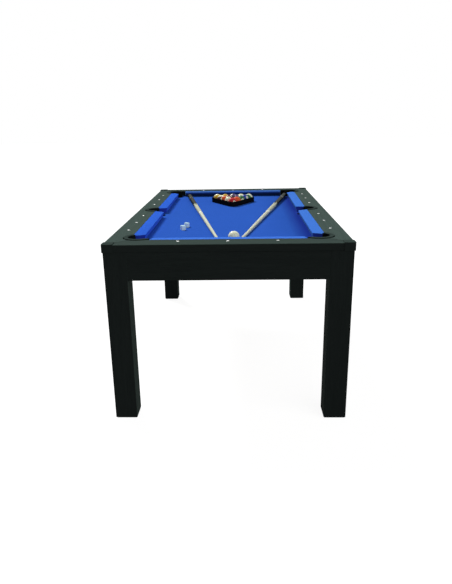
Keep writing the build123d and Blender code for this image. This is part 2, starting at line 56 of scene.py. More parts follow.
# Sizes of the table in metres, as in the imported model
rail_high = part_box("rail_left")[1]
rail_top = rail_high.z
bed_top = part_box("bed_cloth")[1].z
inner_x = -rail_high.x
inner_y = -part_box("rail_near")[1].y
cushion_width = 0.052
cushion_float = 0.002
cushion_undercut = 0.009
nose_drop = 0.002
side_corner_nose_gap = 0.068
side_corner_back_gap = 0.091
end_corner_nose_gap = 0.043
end_corner_back_gap = 0.087
middle_nose_half_gap = 0.071
middle_back_half_gap = 0.052
heel_width = 0.012
heel_length = 0.028
nose_rounding = 0.0032
back_rounding = 0.0018
facing_rounding = 0.0015
pocket_hole_radius = 0.049
bed_notch_x, bed_notch_y = 0.4215, 0.8115
pocket_places = {
    "near_left": (-0.394, -0.760),
    "near_right": (0.394, -0.760),
    "side_left": (-0.423, 0.0),
    "side_right": (0.423, 0.0),
    "far_left": (-0.394, 0.760),
    "far_right": (0.394, 0.760),
}


# Shader maths


class Value:
    """A number in a finish; sums written on it add Math nodes."""

    def __init__(self, finish, socket):
        self.finish = finish
        self.socket = socket

    def math(self, operation, *others):
        return self.finish.math(operation, self, *others)

    def __add__(self, other):
        return self.math("ADD", other)

    __radd__ = __add__

    def __sub__(self, other):
        return self.math("SUBTRACT", other)

    def __rsub__(self, other):
        return self.finish.math("SUBTRACT", other, self)

    def __mul__(self, other):
        return self.math("MULTIPLY", other)

    __rmul__ = __mul__

    def __truediv__(self, other):
        return self.math("DIVIDE", other)

    def __abs__(self):
        return self.math("ABSOLUTE")


class Finish:
    """The nodes of one material, or of the world."""

    def __init__(self, name, owner=None):
        self.owner = owner or bpy.data.materials.new(name)
        self.owner.use_nodes = True
        self.tree = self.owner.node_tree
        self.tree.nodes.clear()

    def feed(self, socket, value):
        if isinstance(value, Value):
            self.tree.links.new(value.socket, socket)
        else:
            socket.default_value = value

    def add(self, kind, settings=(), inputs=(), output=0):
        """Adds a node, sets it up, then fills its sockets with values or links."""
        node = self.tree.nodes.new(kind)
        for name, setting in dict(settings).items():
            setattr(node, name, setting)
        for name, value in dict(inputs).items():
            self.feed(node.inputs[name], value)
        return Value(self, node.outputs[output]) if node.outputs else None

    def math(self, operation, *numbers, clamp=False):
        settings = {"operation": operation, "use_clamp": clamp}
        return self.add("ShaderNodeMath", settings, dict(enumerate(numbers)))

    def edge(self, value, threshold, softness):
        """0 below the threshold and 1 above it, with a soft step."""
        rise = (value - threshold) / softness + 0.5
        return self.math("MAXIMUM", self.math("MINIMUM", rise, 1.0), 0.0)

    def coords(self, place=(0, 0, 0), turn=(0, 0, 0), scale=(1, 1, 1)):
        """Object coordinates, centred on a place and turned with it, then scaled."""
        here = self.add("ShaderNodeTexCoord", output="Object")
        if any(place) or any(turn):
            inputs = {"Vector": here, "Location": place, "Rotation": turn}
            here = self.add("ShaderNodeMapping", {"vector_type": "TEXTURE"}, inputs)
        if scale != (1, 1, 1):
            inputs = {"Vector": here, "Scale": scale}
            here = self.add("ShaderNodeMapping", {"vector_type": "POINT"}, inputs)
        return here

    def parts(self, vector):
        """The three numbers of a vector."""
        node = self.tree.nodes.new("ShaderNodeSeparateXYZ")
        self.tree.links.new(vector.socket, node.inputs[0])
        return [Value(self, socket) for socket in node.outputs]

    def plainly_seen(self):
        """1 on what is seen by the camera, in gloss or through glass, and 0 for other light."""
        path = self.tree.nodes.new("ShaderNodeLightPath")
        seen = Value(self, path.outputs["Is Camera Ray"])
        for name in ("Is Glossy Ray", "Is Transmission Ray"):
            seen = self.math("MAXIMUM", seen, Value(self, path.outputs[name]))
        return seen

    def noise(self, vector, scale, detail=2.0, roughness=0.5, distortion=0.0):
        inputs = {"Vector": vector, "Scale": scale, "Detail": detail,
                  "Roughness": roughness, "Distortion": distortion}
        return self.add("ShaderNodeTexNoise", {}, inputs)

    def spread(self, value, low, high, out_low=0.0, out_high=1.0):
        """Stretches the range low to high over out_low to out_high, held at both ends."""
        inputs = {"Value": value, "From Min": low, "From Max": high,
                  "To Min": out_low, "To Max": out_high}
        return self.add("ShaderNodeMapRange", {"clamp": True}, inputs)

    def mix(self, amount, first, second, blend="MIX"):
        """Mixes two colours, written as three numbers or linked."""
        colours = [(*c, 1.0) if isinstance(c, tuple) else c for c in (first, second)]
        settings = {"data_type": "RGBA", "blend_type": blend}
        return self.add("ShaderNodeMix", settings, {0: amount, 6: colours[0], 7: colours[1]},
                        output=2)

    def bump(self, height, depth, normal=None):
        """Relief of that depth in metres."""
        inputs = {"Height": height, "Distance": depth, "Strength": 1.0}
        if normal is not None:
            inputs["Normal"] = normal
        return self.add("ShaderNodeBump", {}, inputs)

    def surface(self, colour, roughness, normal=None, **constants):
        """Principled surface; the constants stay on its own sockets."""
        inputs = {"Base Color": (*colour, 1.0) if isinstance(colour, tuple) else colour,
                  "Roughness": roughness}
        if normal is not None:
            inputs["Normal"] = normal
        for name, value in constants.items():
            inputs[name.replace("_", " ").title().replace("Ior", "IOR")] = value
        shader = self.add("ShaderNodeBsdfPrincipled", {}, inputs)
        self.add("ShaderNodeOutputMaterial", {}, {"Surface": shader})
        return self.owner


def rgb(colour):
    return tuple(colour)[:3]


def tinted(colour, shares):
    """Each channel times its share, or all times one number."""
    if not isinstance(shares, tuple):
        shares = (shares,) * 3
    return tuple(channel * share for channel, share in zip(colour, shares))


# Modelling by hand


def put_down():
    """Leaves edit mode with nothing selected."""
    if bpy.context.object and bpy.context.object.mode != "OBJECT":
        bpy.ops.object.mode_set(mode="OBJECT")
    bpy.ops.object.select_all(action="DESELECT")


def take_up(piece):
    """Selects one piece alone."""
    put_down()
    bpy.context.view_layer.objects.active = piece
    piece.select_set(True)


def settle(piece):
    """Moves a piece's place and turn into its mesh."""
    take_up(piece)
    bpy.ops.object.transform_apply(location=True, rotation=True, scale=True)
    return piece


def block(name, low, high):
    """Starts a piece as a block between two corners."""
    put_down()
    middle = [(a + b) / 2 for a, b in zip(low, high)]
    size = [b - a for a, b in zip(low, high)]
    bpy.ops.mesh.primitive_cube_add(size=1, location=middle, scale=size)
    piece = bpy.context.object
    piece.name = piece.data.name = name
    return settle(piece)


def cylinder(name, place, radius, depth, sides=32):
    """Starts a piece as an upright cylinder about its middle."""
    put_down()
    bpy.ops.mesh.primitive_cylinder_add(vertices=sides, radius=radius, depth=depth,
                                        location=place)
    piece = bpy.context.object
    piece.name = piece.data.name = name
    return settle(piece)


def pick(piece, test, what="EDGE"):
    """Goes into edit mode with the edges or faces that pass the test selected."""
    take_up(piece)
    bpy.ops.object.mode_set(mode="EDIT")
    bpy.ops.mesh.select_mode(type=what)
    bpy.ops.mesh.select_all(action="DESELECT")
    bpy.ops.object.mode_set(mode="OBJECT")
    mesh = piece.data
    if what == "EDGE":
        for edge in mesh.edges:
            a, b = (mesh.vertices[i].co for i in edge.vertices)
            edge.select = bool(test((a + b) / 2, (b - a).normalized()))
    else:
        for face in mesh.polygons:
            face.select = bool(test(face.center, face.normal))
    bpy.ops.object.mode_set(mode="EDIT")


def pick_all(piece):
    take_up(piece)
    bpy.ops.object.mode_set(mode="EDIT")
    bpy.ops.mesh.select_mode(type="FACE")
    bpy.ops.mesh.select_all(action="SELECT")


def ease(piece, width, segments, test):
    """Rounds the edges that pass the test."""
    pick(piece, test)
    bpy.ops.mesh.bevel(offset=width, segments=segments, affect="EDGES")
    put_down()


def smooth(piece, angle=35):
    take_up(piece)
    bpy.ops.object.shade_smooth_by_angle(angle=math.radians(angle))
    put_down()


def cut(piece, cutters):
    """Cuts other pieces out of a piece, and deletes them."""
    for cutter in cutters:
        take_up(piece)
        modifier = piece.modifiers.new("cut", "BOOLEAN")
        modifier.operation = "DIFFERENCE"
        modifier.object = cutter
        bpy.ops.object.modifier_apply(modifier=modifier.name)
    for cutter in cutters:
        take_up(cutter)
        bpy.ops.object.delete()


def turned(name, profile, sides=32):
    """Turned piece along +Z, drawn out of a disc ring by ring from (height, radius)."""
    put_down()
    (height, radius), rest = profile[0], profile[1:]
    bpy.ops.mesh.primitive_circle_add(vertices=sides, radius=radius, fill_type="NGON",
                                      location=(0, 0, height))
    piece = bpy.context.object
    piece.name = piece.data.name = name
    settle(piece)
    pick_all(piece)
    for next_height, next_radius in rest:
        rise = {"value": (0, 0, next_height - height)}
        bpy.ops.mesh.extrude_region_move(TRANSFORM_OT_translate=rise)
        share = next_radius / radius
        bpy.ops.transform.resize(value=(share, share, 1), center_override=(0, 0, next_height))
        height, radius = next_height, next_radius
    bpy.ops.mesh.select_all(action="SELECT")
    bpy.ops.mesh.fill_holes(sides=0)
    bpy.ops.mesh.select_all(action="SELECT")
    bpy.ops.mesh.normals_make_consistent(inside=False)
    put_down()
    return piece


def copied(piece, name, move=Matrix.Identity(4)):
    """A copy with its own mesh, moved to its place."""
    twin = bpy.data.objects.new(name, piece.data.copy())
    twin.data.name = name
    twin.data.transform(move)
    bpy.context.scene.collection.objects.link(twin)
    return twin


def joined(pieces, name):
    """Several pieces made one."""
    put_down()
    for piece in pieces:
        piece.select_set(True)
    bpy.context.view_layer.objects.active = pieces[0]
    bpy.ops.object.join()
    pieces[0].name = pieces[0].data.name = name
    put_down()
    return pieces[0]


def dress(piece, *materials):
    piece.data.materials.clear()
    for material in materials:
        piece.data.materials.append(material)


def add_piece(piece, body, material=None, stands_for=()):
    """Gives a new piece its finish and its body, and hides the nodes it stands for."""
    if material is not None:
        dress(piece, material)
    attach(piece, body)
    if stands_for:
        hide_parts(*stands_for)


def at_corners(kind):
    """Names of the four nodes of a kind, such as the legs."""
    return [f"{kind}_{end}_{side}" for end in ENDS for side in SIDES]


def dress_nodes(material, *names):
    for name in names:
        dress(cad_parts[name], material)


# What a user can change


def colour_property(name, description, default):
    return bpy.props.FloatVectorProperty(name=name, description=description, subtype="COLOR",
                                         size=3, min=0.0, max=1.0, default=default)


class PoolTableSettings(bpy.types.PropertyGroup):
    """Colours and sizes of the dressing."""

    foil: colour_property("Foil", "Black wood-grain foil on rails, aprons and legs",
                          (0.0130, 0.0168, 0.0160))
    foil_grain: colour_property("Foil grain", "Lighter streaks of the foil's grain",
                                (0.0178, 0.0232, 0.0217))
    bed_blue: colour_property("Bed cloth", "Cloth of the playing bed", (0.0215, 0.100, 0.525))
    # The cushion cloth is set paler than the bed cloth, though it is the same cloth: a painted
    # sheen.
    cushion_blue: colour_property("Cushion cloth", "Cloth round the cushions",
                                  (0.050, 0.180, 0.760))
    maple: colour_property("Maple", "Wood of the cue shafts", (0.66, 0.68, 0.46))
    chalk_blue: colour_property("Chalk", "Blue of the cue chalk", (0.60, 0.90, 0.99))
    number_height: bpy.props.FloatProperty(name="Number height",
                                           description="Height of the numbers on the balls",
                                           default=0.0085, unit="LENGTH", min=0.002)
    lamp_strength: bpy.props.FloatProperty(name="Lamp strength", default=3.0, min=0.0,
                                           description="Strength of the broad light from above")
    room_light: bpy.props.FloatProperty(name="Room light",
                                        description="Strength of the light from all round",
                                        default=0.08, min=0.0, max=2.0)
    floor_size: bpy.props.FloatProperty(name="Floor size", description="Side of the pale floor",
                                        default=60.0, unit="LENGTH", min=5.0)


def settings():
    return bpy.context.scene.pool_table


# Finishes


# Painted light: how much paler the faces seen at a grazing angle (a painted sheen) and the
# legs' inner faces are painted, and the tint of that light
painted_sheen_tint = (1.22, 1.43, 1.32)
side_rail_lift, end_rail_lift, cap_lift, collar_lift, inner_face_lift = 3.55, 2.6, 1.9, 3.2, 2.0
open_pore = (0.006, 0.008, 0.008)
mitre_half_width = 0.0022


def lifted(finish, colour, amount, lift):
    """The colour made lift times paler where the amount is 1: painted light."""
    return finish.mix(amount, colour, tinted(painted_sheen_tint, lift), "MULTIPLY")


def topped(finish, colour, gloss, z, top, lift):
    """Colour and gloss that are lifted on the faces at the height top; the lifted colour is a
    painted sheen.
    """
    painted_sheen = finish.spread(z, top - 0.0025, top - 0.0005)
    return lifted(finish, colour, painted_sheen, lift), 0.01 * painted_sheen + gloss


def wood_foil(name, lengthwise, top=None, lift=1.0, gloss=0.03, inner_face=None):
    """Black foil printed and embossed as open-grained wood; lengthwise is its grain's axis.

    Faces at the height top, and those at the distance inner_face from the table's middle
    plane, are lifted, because they catch more light in the photo.
    """
    finish = Finish(name)
    x, y, z = finish.parts(finish.coords())
    squeeze = tuple(0.045 if axis == lengthwise else 1.0 for axis in range(3))
    fibres = finish.noise(finish.coords(scale=squeeze), 520.0, 4.0, 0.6)
    bands = finish.noise(finish.coords(scale=squeeze), 60.0, 3.0, 0.55, 0.6)
    blotches = finish.noise(finish.coords(), 9.0, 2.0)
    pores = finish.spread(fibres, 0.38, 0.50)
    streaks = finish.spread(bands, 0.35, 0.70)
    colour = finish.mix(streaks * 0.5, rgb(settings().foil), rgb(settings().foil_grain))
    colour = finish.mix((1 - pores) * 0.3, colour, open_pore)
    # Painted sheen: the faces at the height top are painted paler.
    if top is not None:
        colour, gloss = topped(finish, colour, gloss, z, top, lift)
        from_mitre = abs(abs(y) - abs(x) - (inner_y - inner_x))
        off_mitre = finish.edge(from_mitre, mitre_half_width, 0.0008)
        colour = finish.mix(off_mitre, open_pore, colour)
    # Painted light: the faces at the distance inner_face are painted paler.
    if inner_face is not None:
        lit_inner_face = finish.spread(abs(x), inner_face + 0.0003, inner_face + 0.0013, 1.0, 0.0)
        colour = lifted(finish, colour, lit_inner_face, inner_face_lift)
    roughness = 0.40 + 0.10 * (1 - pores) + 0.06 * blotches
    relief = finish.bump(pores, 0.00012, finish.bump(bands, 0.0003))
    return finish.surface(colour, roughness, relief, specular_ior_level=0.0,
                          coat_weight=gloss, coat_roughness=0.35)


# Shares of the cloth's blue for painted shade: under the nose, on the facings, by the right
# cushions
plain_shade = (0.12, 0.12, 0.12)
facing_shade = (0.6, 0.33, 0.6)
bed_shade = (0.5, 0.2, 0.5)
# Facings lie past this distance from the middle of the table, or round its side pockets
corner_facing = 0.6935
facing_softness = 0.0005
bed_shaded_from = 0.17


def billiard_cloth(name, blue, shade=0.0, sheen=0.08, shaded_from=None, tone=plain_shade,
                   facings=False):
    """Napped worsted cloth: a fine even weave under a brushed, slightly uneven nap.

    Under a cushion's nose it takes the tone by the amount of shade: painted shade where the tone
    is below 1, painted light where it is above 1. It is painted navy on the facings of a side
    cushion, a painted shade. From shaded_from towards the right rail the bed is painted deeper,
    and navy beside the cushions, a painted shadow. These shades follow the light in the photo.
    """
    finish = Finish(name)
    here = finish.coords()
    x, y, z = finish.parts(here)
    threads = (x * 5200.0).math("SINE") * (y * 5200.0).math("SINE")
    nap = finish.noise(finish.coords(scale=(1.0, 0.25, 1.0)), 1400.0, 3.0, 0.65)
    drift = finish.noise(here, 7.0, 3.0)
    pale = tuple(min(1.0, channel * 1.25 + 0.01) for channel in blue)
    deep = tinted(blue, 0.80)
    colour = finish.mix(finish.spread(nap, 0.30, 0.70), deep, pale)
    colour = finish.mix(finish.spread(drift, 0.30, 0.70, 0.0, 0.14), colour, pale)
    # Painted shade under the nose where the tone is below 1, painted light where it is above 1.
    if shade:
        under_nose = finish.spread(z, rail_top - 0.014, rail_top - 0.004, shade, 0.0)
        colour = finish.mix(under_nose, colour, tinted(blue, tone))
    # Painted shade: the facings are painted navy.
    if facings:
        corner = finish.edge(abs(y), corner_facing, facing_softness)
        middle = 1 - finish.edge(abs(y), middle_nose_half_gap + facing_softness,
                                 facing_softness)
        below_top = finish.spread(z, rail_top - 0.0035, rail_top - 0.0015, 1.0, 0.0)
        colour = finish.mix((corner + middle) * below_top, colour, tinted(blue, facing_shade))
    # Painted shadow: the bed is painted deeper towards the right rail and navy beside the
    # cushions.
    if shaded_from is not None:
        nose = inner_x - cushion_width
        shade_towards_rail = finish.spread(x, shaded_from, nose, 0.0, 0.45)
        colour = finish.mix(shade_towards_rail, colour, tinted(blue, 0.6))
        in_shade = finish.spread(x, nose - 0.075, nose - 0.005, 0.0, 0.8)
        colour = finish.mix(in_shade, colour, tinted(blue, bed_shade))
    relief = finish.bump(nap, 0.00012, finish.bump(threads, 0.00005))
    return finish.surface(colour, 0.95, relief, specular_ior_level=0.0, sheen_weight=sheen,
                          sheen_roughness=0.5, sheen_tint=(0.25, 0.6, 1.0, 1.0))


def moulded_plastic(name, colour, roughness=0.42, gloss=0.10, top=None, lift=1.0):
    """Injection-moulded plastic with a fine spark-eroded grain and slight flow marks."""
    finish = Finish(name)
    grain = finish.noise(finish.coords(), 1800.0, 2.0, 0.6)
    flow = finish.noise(finish.coords(), 14.0, 2.0, 0.5, 0.8)
    shade = finish.mix(finish.spread(flow, 0.35, 0.65, 0.0, 0.5), colour, tinted(colour, 1.6))
    # Painted sheen: the faces at the height top are painted paler.
    if top is not None:
        x, y, z = finish.parts(finish.coords())
        shade, gloss = topped(finish, shade, gloss, z, top, lift)
    worn = roughness + 0.10 * finish.spread(flow, 0.35, 0.65)
    return finish.surface(shade, worn, finish.bump(grain, 0.00006), specular_ior_level=0.0,
                          coat_weight=gloss, coat_roughness=roughness)


def pressed_board(name):
    """Raw medium-density board: warm brown, with fine fibre flecks."""
    finish = Finish(name)
    flecks = finish.noise(finish.coords(), 700.0, 3.0, 0.7)
    clouds = finish.noise(finish.coords(), 12.0, 3.0)
    colour = finish.mix(finish.spread(flecks, 0.3, 0.7), (0.27, 0.165, 0.085),
                        (0.40, 0.27, 0.15))
    colour = finish.mix(finish.spread(clouds, 0.3, 0.7, 0.0, 0.25), colour, (0.22, 0.13, 0.07))
    return finish.surface(colour, 0.82, finish.bump(flecks, 0.0001), specular_ior_level=0.25)


def sawn_pine(name):
    """Planed softwood with growth rings stretched along the length."""
    finish = Finish(name)
    here = finish.coords(scale=(0.06, 0.5, 1.0))
    rings = finish.noise(here, 90.0, 3.0, 0.5, 1.2)
    fibres = finish.noise(here, 600.0, 2.0)
    colour = finish.mix(finish.spread(rings, 0.35, 0.65), (0.62, 0.42, 0.22),
                        (0.42, 0.24, 0.10))
    colour = finish.mix(finish.spread(fibres, 0.3, 0.7, 0.0, 0.3), colour, (0.70, 0.52, 0.30))
    return finish.surface(colour, 0.62, finish.bump(fibres, 0.00012), specular_ior_level=0.3)


def zinc_plate(name):
    """Bright zinc plating on steel, a little cloudy."""
    finish = Finish(name)
    spangle = finish.noise(finish.coords(), 160.0, 3.0, 0.6)
    colour = finish.mix(spangle, (0.52, 0.53, 0.53), (0.70, 0.71, 0.70))
    roughness = 0.28 + 0.18 * spangle
    return finish.surface(colour, roughness, finish.bump(spangle, 0.00003), metallic=1.0)


def mother_of_pearl(name):
    """White inlaid dots with a faint shimmer."""
    finish = Finish(name)
    clouds = finish.noise(finish.coords(), 260.0, 3.0, 0.5, 1.5)
    colour = finish.mix(clouds, (0.90, 0.95, 0.93), (0.96, 0.98, 0.97))
    return finish.surface(colour, 0.22 + 0.10 * clouds, specular_ior_level=1.0,
                          coat_weight=1.0)


def printed_ink(name, colour=(0.012, 0.012, 0.014)):
    finish = Finish(name)
    wear = finish.noise(finish.coords(), 900.0, 2.0)
    shade = finish.mix(finish.spread(wear, 0.3, 0.7), colour,
                       tuple(channel * 1.8 + 0.004 for channel in colour))
    return finish.surface(shade, 0.12 + 0.05 * wear, specular_ior_level=0.5)


# Stage


camera_place = (0.0543, -3.1011, 1.3005)
camera_yaw, camera_pitch, camera_roll = -0.03457, 0.30791, -0.0174
camera_lens = 33.649
camera_shift = 0.00488
# Heading of each lamp, its spread in degrees and its share of the lamp strength
lamps = {
    "top_light": ((0.55, -0.80, -1.0), 24, 1.05),
    "front_light": ((-0.8, 1.0, -0.6), 70, 0.42),
}


class POOLTABLE_OT_stage(bpy.types.Operator):
    """Pale floor, studio light and the camera"""

    bl_idname = "pool_table.stage"
    bl_label = "Stage"

    def execute(self, context):
        choice = settings()
        put_down()
        bpy.ops.mesh.primitive_plane_add(size=choice.floor_size, location=(0, 0, 0))
        floor = context.object
        floor.name = "pale_floor"
        settle(floor)
        finish = Finish("pale_floor")
        speckle = finish.noise(finish.coords(), 3.0, 4.0)
        colour = finish.mix(speckle, (0.28, 0.28, 0.28), (0.30, 0.30, 0.30))
        paint = finish.add("ShaderNodeBsdfDiffuse", {}, {"Color": colour})
        glow = finish.add("ShaderNodeEmission", {}, {"Color": (1, 1, 1, 1),
                                                     "Strength": finish.plainly_seen() * 0.93})
        both = finish.add("ShaderNodeAddShader", {}, {0: paint, 1: glow})
        finish.add("ShaderNodeOutputMaterial", {}, {"Surface": both})
        dress(floor, finish.owner)

        world = bpy.data.worlds.new("studio")
        context.scene.world = world
        air = Finish("studio", world)
        strength = choice.room_light + (1.0 - choice.room_light) * air.plainly_seen()
        sky = air.add("ShaderNodeBackground", {}, {"Color": (1, 1, 1, 1),
                                                   "Strength": strength})
        air.add("ShaderNodeOutputWorld", {}, {"Surface": sky})

        for name, (heading, spread, share) in lamps.items():
            put_down()
            bpy.ops.object.light_add(type="SUN", location=(0, 0, 3))
            lamp = context.object
            lamp.name = lamp.data.name = name
            lamp.data.angle = math.radians(spread)
            lamp.data.energy = choice.lamp_strength * share
            lamp.rotation_euler = Vector(heading).to_track_quat("-Z", "Y").to_euler()

        put_down()
        bpy.ops.object.camera_add(location=camera_place)
        camera = context.object
        camera.name = "camera"
        turn = (Matrix.Rotation(-camera_yaw, 3, "Z")
                @ Matrix.Rotation(math.pi / 2 - camera_pitch, 3, "X")
                @ Matrix.Rotation(camera_roll, 3, "Z"))
        camera.rotation_euler = turn.to_euler()
        camera.data.lens = camera_lens
        camera.data.sensor_width = 36.0
        camera.data.shift_x = camera_shift
        context.scene.camera = camera
        context.scene.view_settings.view_transform = "Standard"
        return {"FINISHED"}


# Frame, legs and what lies under the bed


class POOLTABLE_OT_rails(bpy.types.Operator):
    """Wood-grain foil on the mitred rails, and their moulded corner caps"""

    bl_idname = "pool_table.rails"
    bl_label = "Rails and caps"

    def execute(self, context):
        along = wood_foil("foil_along", 1, rail_top, side_rail_lift)
        across = wood_foil("foil_across", 0, rail_top, end_rail_lift)
        dress_nodes(along, "rail_left", "rail_right")
        dress_nodes(across, "rail_near", "rail_far")
        cap_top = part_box("corner_caps")[1].z
        caps = moulded_plastic("cap_plastic", rgb(settings().foil), 0.42, 0.03, cap_top, cap_lift)
        dress_nodes(caps, "corner_caps")
        return {"FINISHED"}


sight_radius = 0.006
sight_dome = 0.0018
sight_x, sight_y = 0.467, 0.851
sight_places = ([(sx * sight_x, sy * along) for sx in (-1, 1) for sy in (-1, 1)
                 for along in (0.2, 0.4, 0.6)]
                + [(across, sy * sight_y) for sy in (-1, 1) for across in (-0.21, 0.0, 0.21)])


class POOLTABLE_OT_sights(bpy.types.Operator):
    """Pearl sights let into the rails, their faces slightly domed"""

    bl_idname = "pool_table.sights"
    bl_label = "Sights"

    def execute(self, context):
        put_down()
        bpy.ops.mesh.primitive_uv_sphere_add(segments=32, ring_count=16, radius=sight_radius)
        first = settle(context.object)
        pick_all(first)
        bpy.ops.transform.resize(value=(1, 1, sight_dome / sight_radius),
                                 center_override=(0, 0, 0))
        bpy.ops.mesh.bisect(plane_co=(0, 0, -sight_dome / 4), plane_no=(0, 0, 1),
                            use_fill=True, clear_inner=True)
        put_down()
        sights = [copied(first, "sight", Matrix.Translation((x, y, rail_top)))
                  for x, y in sight_places]
        take_up(first)
        bpy.ops.object.delete()
        sights = joined(sights, "sights")
        smooth(sights)
        add_piece(sights, "table", mother_of_pearl("sight_pearl"),
                  ["rail_sights"])
        return {"FINISHED"}


class POOLTABLE_OT_cabinet(bpy.types.Operator):
    """Foil on the aprons and the legs"""

    bl_idname = "pool_table.cabinet"
    bl_label = "Aprons and legs"

    def execute(self, context):
        dress_nodes(wood_foil("apron_foil_along", 1), "apron_left", "apron_right")
        dress_nodes(wood_foil("apron_foil_across", 0), "apron_near", "apron_far")
        # The legs' inner faces are painted paler: painted light.
        leg_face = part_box("leg_near_right")[0].x
        dress_nodes(wood_foil("leg_foil", 2, inner_face=leg_face), *at_corners("leg"))
        return {"FINISHED"}


class POOLTABLE_OT_underside(bpy.types.Operator):
    """Board, cleats, brackets, bolts and levelling feet"""

    bl_idname = "pool_table.underside"
    bl_label = "Underside"

    def execute(self, context):
        dress_nodes(pressed_board("bed_board"), "bed_board")
        dress_nodes(sawn_pine("support_pine"), "bed_supports")
        dress_nodes(zinc_plate("zinc_plate"), "leg_brackets", "frame_bolts", "foot_nuts")
        dress_nodes(moulded_plastic("foot_plastic", (0.012, 0.012, 0.013), 0.5),
                    *at_corners("levelling_foot"))
        return {"FINISHED"}


# Playing surface


def facing_ends():
    """Place, turn, and the nose, back and heel at both ends of each cushion."""
    places = {}
    nose_x, nose_y = inner_x - cushion_width, inner_y - cushion_width
    plain = (nose_x - end_corner_nose_gap, inner_x - end_corner_back_gap, 0.0)
    middle = (inner_y - side_corner_back_gap + middle_back_half_gap) / 2
    corner = (nose_y - side_corner_nose_gap - middle, inner_y - side_corner_back_gap - middle,
              heel_length)
    side = (middle - middle_nose_half_gap, middle - middle_back_half_gap, 0.0)
    for end, sy in ENDS.items():
        places[end] = (0.0, sy * inner_y, 0 if sy < 0 else 180, (plain, plain))
        for hand, sx in SIDES.items():
            ends = (corner, side) if sx * sy < 0 else (side, corner)
            places[f"{hand}_{end}"] = (sx * inner_x, sy * middle, 90 * sx, ends)
    return places


def cushion_bar(name, ends):
    """One cushion at the origin: undercut, cut to its facings, its cloth edges eased."""
    reach = max(back for nose, back, heel in ends) + 0.02
    low = bed_top + cushion_float
    bar = block(name, (-reach, 0.0, low), (reach, cushion_width, rail_top))
    middle = (low + rail_top) / 2

    def at_nose(place):
        return place.y > cushion_width * 0.9

    pick(bar, lambda place, way: at_nose(place) and place.z < middle and abs(way.x) > 0.9)
    bpy.ops.transform.translate(value=(0, -cushion_undercut, 0))
    pick(bar, lambda place, way: at_nose(place) and place.z > middle and abs(way.x) > 0.9)
    bpy.ops.transform.translate(value=(0, 0, -nose_drop))
    for sign, (nose, back, heel) in zip((-1, 1), ends):
        slope = (nose - back) / cushion_width
        cuts = [(back, (sign * cushion_width, back - nose, 0))]
        if heel:
            cuts.append((back - heel, (sign * heel_width, -heel - slope * heel_width, 0)))
        for start, normal in cuts:
            pick_all(bar)
            bpy.ops.mesh.bisect(plane_co=(sign * start, 0, 0), plane_no=normal,
                                use_fill=True, clear_outer=True)
    put_down()
    ease(bar, nose_rounding, 4,
         lambda place, way: at_nose(place) and place.z > middle and abs(way.x) > 0.9)
    ease(bar, back_rounding, 3,
         lambda place, way: place.y < 0.001 and place.z > middle and abs(way.x) > 0.9)
    inside = min(nose for nose, back, heel in ends) - 0.05
    ease(bar, facing_rounding, 3,
         lambda place, way: place.y > 0.002 and place.z > low + 0.001
         and abs(place.x) > inside and abs(way.x) < 0.9 and abs(way.z) < 0.3)
    smooth(bar)
    return bar


class POOLTABLE_OT_cushions(bpy.types.Operator):
    """Six rubber cushions in their cloth"""

    bl_idname = "pool_table.cushions"
    bl_label = "Cushions"

    def execute(self, context):
        blue = rgb(settings().cushion_blue)
        # Painted light: the left cushions' cloth is painted darker and the right cushions' paler.
        shaded_left_blue = tinted(blue, (0.62, 0.74, 0.92))
        lit_right_blue = tinted(blue, (1.0, 1.02, 0.92))
        # The far cushion's cloth is painted darker all over, a painted shade.
        # Under the noses the cloth is painted darker, but lighter on the left: painted shade and
        # light.
        cloths = {"left": billiard_cloth("cushion_cloth_left", shaded_left_blue, shade=1.0, sheen=0.0,
                                         tone=(2.2, 1.5, 1.3), facings=True),
                  "right": billiard_cloth("cushion_cloth_right", lit_right_blue, shade=0.5, sheen=0.12,
                                          facings=True),
                  "near": billiard_cloth("cushion_cloth_near", blue, shade=0.5),
                  "far": billiard_cloth("cushion_cloth_far", tinted(blue, 0.6), shade=0.95,
                                        sheen=0.3)}
        for name, (x, y, turn, ends) in facing_ends().items():
            bar = cushion_bar(f"cushion_bar_{name}", ends)
            bar.data.transform(Matrix.Translation((x, y, 0))
                               @ Matrix.Rotation(math.radians(turn), 4, "Z"))
            stands_for = [f"cushion_{name}"]
            if name == "near":
                stands_for.append("cushion_cloths")
            add_piece(bar, "table", cloths[name.split("_")[0]], stands_for)
        return {"FINISHED"}


class POOLTABLE_OT_bed(bpy.types.Operator):
    """Playing cloth stretched over the bed, cut out at the pockets and round the legs"""

    bl_idname = "pool_table.bed"
    bl_label = "Bed cloth"

    def execute(self, context):
        low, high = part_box("bed_cloth")
        cloth = block("playing_cloth", low, high)
        cutters = [cylinder("hole", (x, y, high.z), pocket_hole_radius, 0.02, 64)
                   for x, y in pocket_places.values()]
        for sx in SIDES.values():
            for sy in ENDS.values():
                x_range = sorted((sx * bed_notch_x, sx))
                y_range = sorted((sy * bed_notch_y, sy))
                cutters.append(block("notch", (x_range[0], y_range[0], low.z - 0.01),
                                     (x_range[1], y_range[1], high.z + 0.01)))
        cut(cloth, cutters)
        smooth(cloth)
        material = billiard_cloth("bed_cloth", rgb(settings().bed_blue),
                                  shaded_from=bed_shaded_from)
        add_piece(cloth, "table", material, ["bed_cloth"])
        return {"FINISHED"}


class POOLTABLE_OT_pockets(bpy.types.Operator):
    """Moulded pocket liners"""

    bl_idname = "pool_table.pockets"
    bl_label = "Pockets"

    def execute(self, context):
        collar_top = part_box("pocket_near_left")[1].z
        dark = tinted(rgb(settings().foil), 0.6)
        black = moulded_plastic("pocket_plastic", dark, 0.42, 0.02, collar_top,
                                collar_lift)
        dress_nodes(black, *[f"pocket_{name}" for name in pocket_places])
        return {"FINISHED"}


# Balls and triangle


